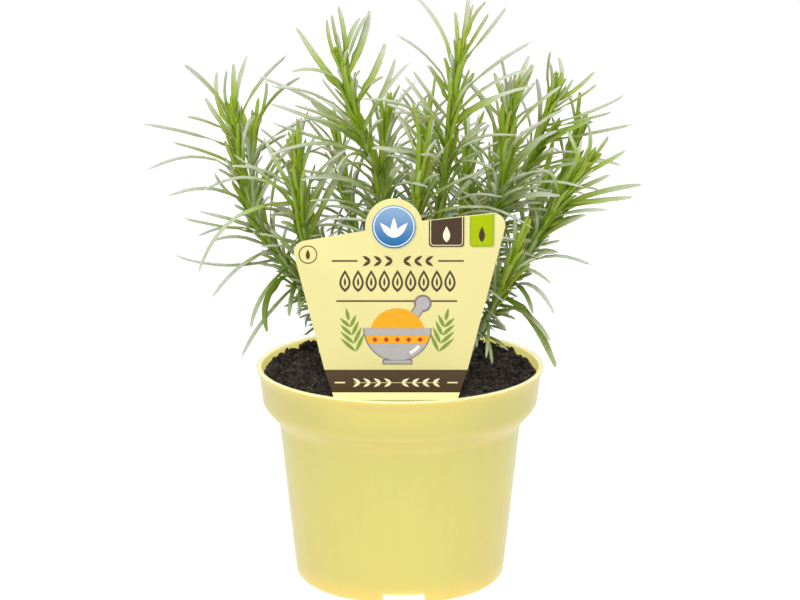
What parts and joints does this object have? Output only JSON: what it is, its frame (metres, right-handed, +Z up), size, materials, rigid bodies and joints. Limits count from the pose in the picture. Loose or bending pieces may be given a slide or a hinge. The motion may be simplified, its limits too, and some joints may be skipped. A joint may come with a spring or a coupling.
{
  "type": "potted curry plant",
  "caption": "Curry plant in a round pale yellow plastic nursery pot, with dark soil, a printed plant card and branching stems of narrow, arching grey-green leaves.",
  "frame": {"origin": "centre of the pot's foot ring, on the surface that the pot stands on, which is also the middle of the whole part's footprint", "axes": "+Z up along the pot's axis, -Y towards the side that the plant card faces, +X to the viewer's right when looking at the card"},
  "size_m": [0.2009, 0.1208, 0.247],
  "materials": {
    "pot_plastic": "semi-gloss injection-moulded polypropylene, pale yellow",
    "peat": "dark, moist, crumbly peat-free potting soil",
    "card_plastic": "printed pale yellow plastic card, satin",
    "leaf": "soft, finely felted leaves, yellow-green inside and silver-grey at the tips"
  },
  "bodies": {
    "root": {"pot": "pot_plastic", "soil": "peat", "plant_card": "card_plastic", "curry_plant_left": "leaf", "curry_plant_mid_left": "leaf", "curry_plant_mid_right": "leaf", "curry_plant_right": "leaf", "curry_plant_far_right": "leaf", "curry_plant_back": "leaf", "curry_plant_back_right": "leaf", "curry_plant_back_left": "leaf"}
  },
  "joints": []
}
